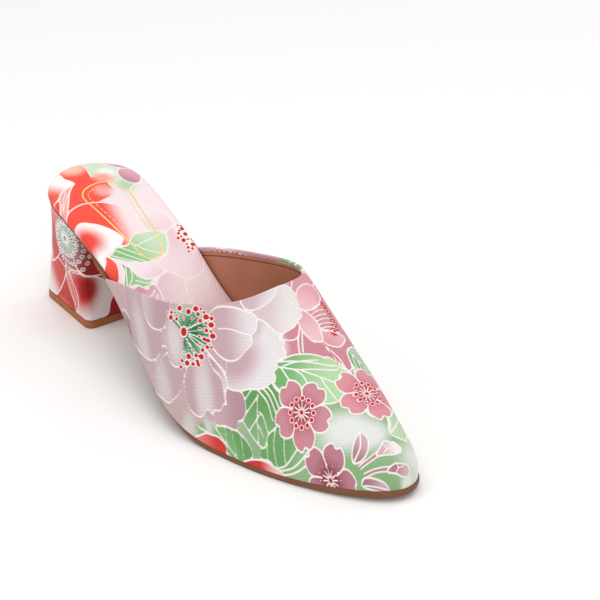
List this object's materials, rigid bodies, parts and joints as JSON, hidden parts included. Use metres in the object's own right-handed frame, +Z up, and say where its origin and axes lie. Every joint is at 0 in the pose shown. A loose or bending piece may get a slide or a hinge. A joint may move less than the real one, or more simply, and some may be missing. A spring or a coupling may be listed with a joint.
{
  "type": "block heel mule",
  "caption": "Backless pointed-toe mule on a covered block heel, for the right foot, with a padded insole, a thin outsole and a hollow floral-printed upper.",
  "frame": {"origin": "middle of the ground face of the heel's top lift", "axes": "+X to the toe, +Y to the medial side (the wearer's left on this right shoe), +Z up; the floor is Z = 0"},
  "size_m": [0.255, 0.0837, 0.0686],
  "materials": {
    "sole_sheet": "matt brown sheet",
    "top_lift": "satin tan",
    "heel_cover": "printed synthetic leather with a fine woven grain, satin",
    "insole_cover": "printed synthetic leather with a fine woven grain, satin",
    "printed_cover": "printed synthetic leather with a fine woven grain, satin"
  },
  "bodies": {
    "root": {"outsole": "sole_sheet", "heel_tip": "top_lift", "heel_block": "heel_cover", "insole": "insole_cover", "upper": "printed_cover"}
  },
  "joints": []
}
